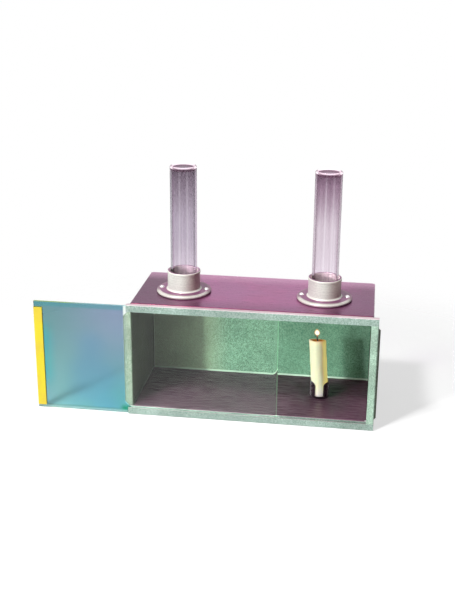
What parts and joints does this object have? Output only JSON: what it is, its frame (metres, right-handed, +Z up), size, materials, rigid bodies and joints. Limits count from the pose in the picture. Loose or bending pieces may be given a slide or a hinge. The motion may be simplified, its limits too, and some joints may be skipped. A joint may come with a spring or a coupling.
{
  "type": "convection of gases apparatus",
  "caption": "Sheet-metal box with a sliding glass front, glass chimneys standing in riveted collars on its lid, and a candle held by a clip under one of them.",
  "frame": {"origin": "on the table, in the mid-plane of the glass, midway between the side walls' outer faces", "axes": "+X to the right as seen from the glass front, +Y from the glass to the back wall, +Z up"},
  "size_m": [0.3612, 0.113, 0.261],
  "materials": {
    "lid_sheet": "semi-gloss",
    "box_sheet": "mottled satin",
    "floor_sheet": "glossy",
    "channel_sheet": "mottled satin",
    "collar_aluminium": "cast and turned",
    "clip_aluminium": "satin",
    "rivet_aluminium": "bright",
    "pane_glass": "clear",
    "chimney_glass": "clear",
    "tape": "matt",
    "wax": "waxy",
    "wick_thread": "charred"
  },
  "bodies": {
    "box": {"top_panel": "lid_sheet", "back_panel": "box_sheet", "floor_panel": "floor_sheet", "left_wall": "box_sheet", "right_wall": "box_sheet", "upper_channel": "channel_sheet", "lower_channel": "channel_sheet", "end_channel": "channel_sheet", "left_collar": "collar_aluminium", "right_collar": "collar_aluminium", "left_collar_left_rivet": "rivet_aluminium", "left_collar_right_rivet": "rivet_aluminium", "right_collar_left_rivet": "rivet_aluminium", "right_collar_right_rivet": "rivet_aluminium", "candle_clip": "clip_aluminium", "clip_rivet": "rivet_aluminium"},
    "glass": {"glass_pane": "pane_glass", "edge_tape": "tape"},
    "left_chimney": {"left_chimney": "chimney_glass"},
    "right_chimney": {"right_chimney": "chimney_glass"},
    "candle": {"candle": "wax", "wick": "wick_thread"}
  },
  "joints": [
    {"name": "glass_slide", "type": "slide", "parent": "box", "child": "glass", "axis": [1, 0, 0], "range_m": [-0.16, 0.0998]},
    {"name": "left_chimney_lift", "type": "slide", "parent": "box", "child": "left_chimney", "axis": [0, 0, 1], "range_m": [0, 0.03]},
    {"name": "right_chimney_lift", "type": "slide", "parent": "box", "child": "right_chimney", "axis": [0, 0, 1], "range_m": [0, 0.03]},
    {"name": "candle_lift", "type": "slide", "parent": "box", "child": "candle", "axis": [0, 0, 1], "range_m": [0, 0.022]}
  ]
}
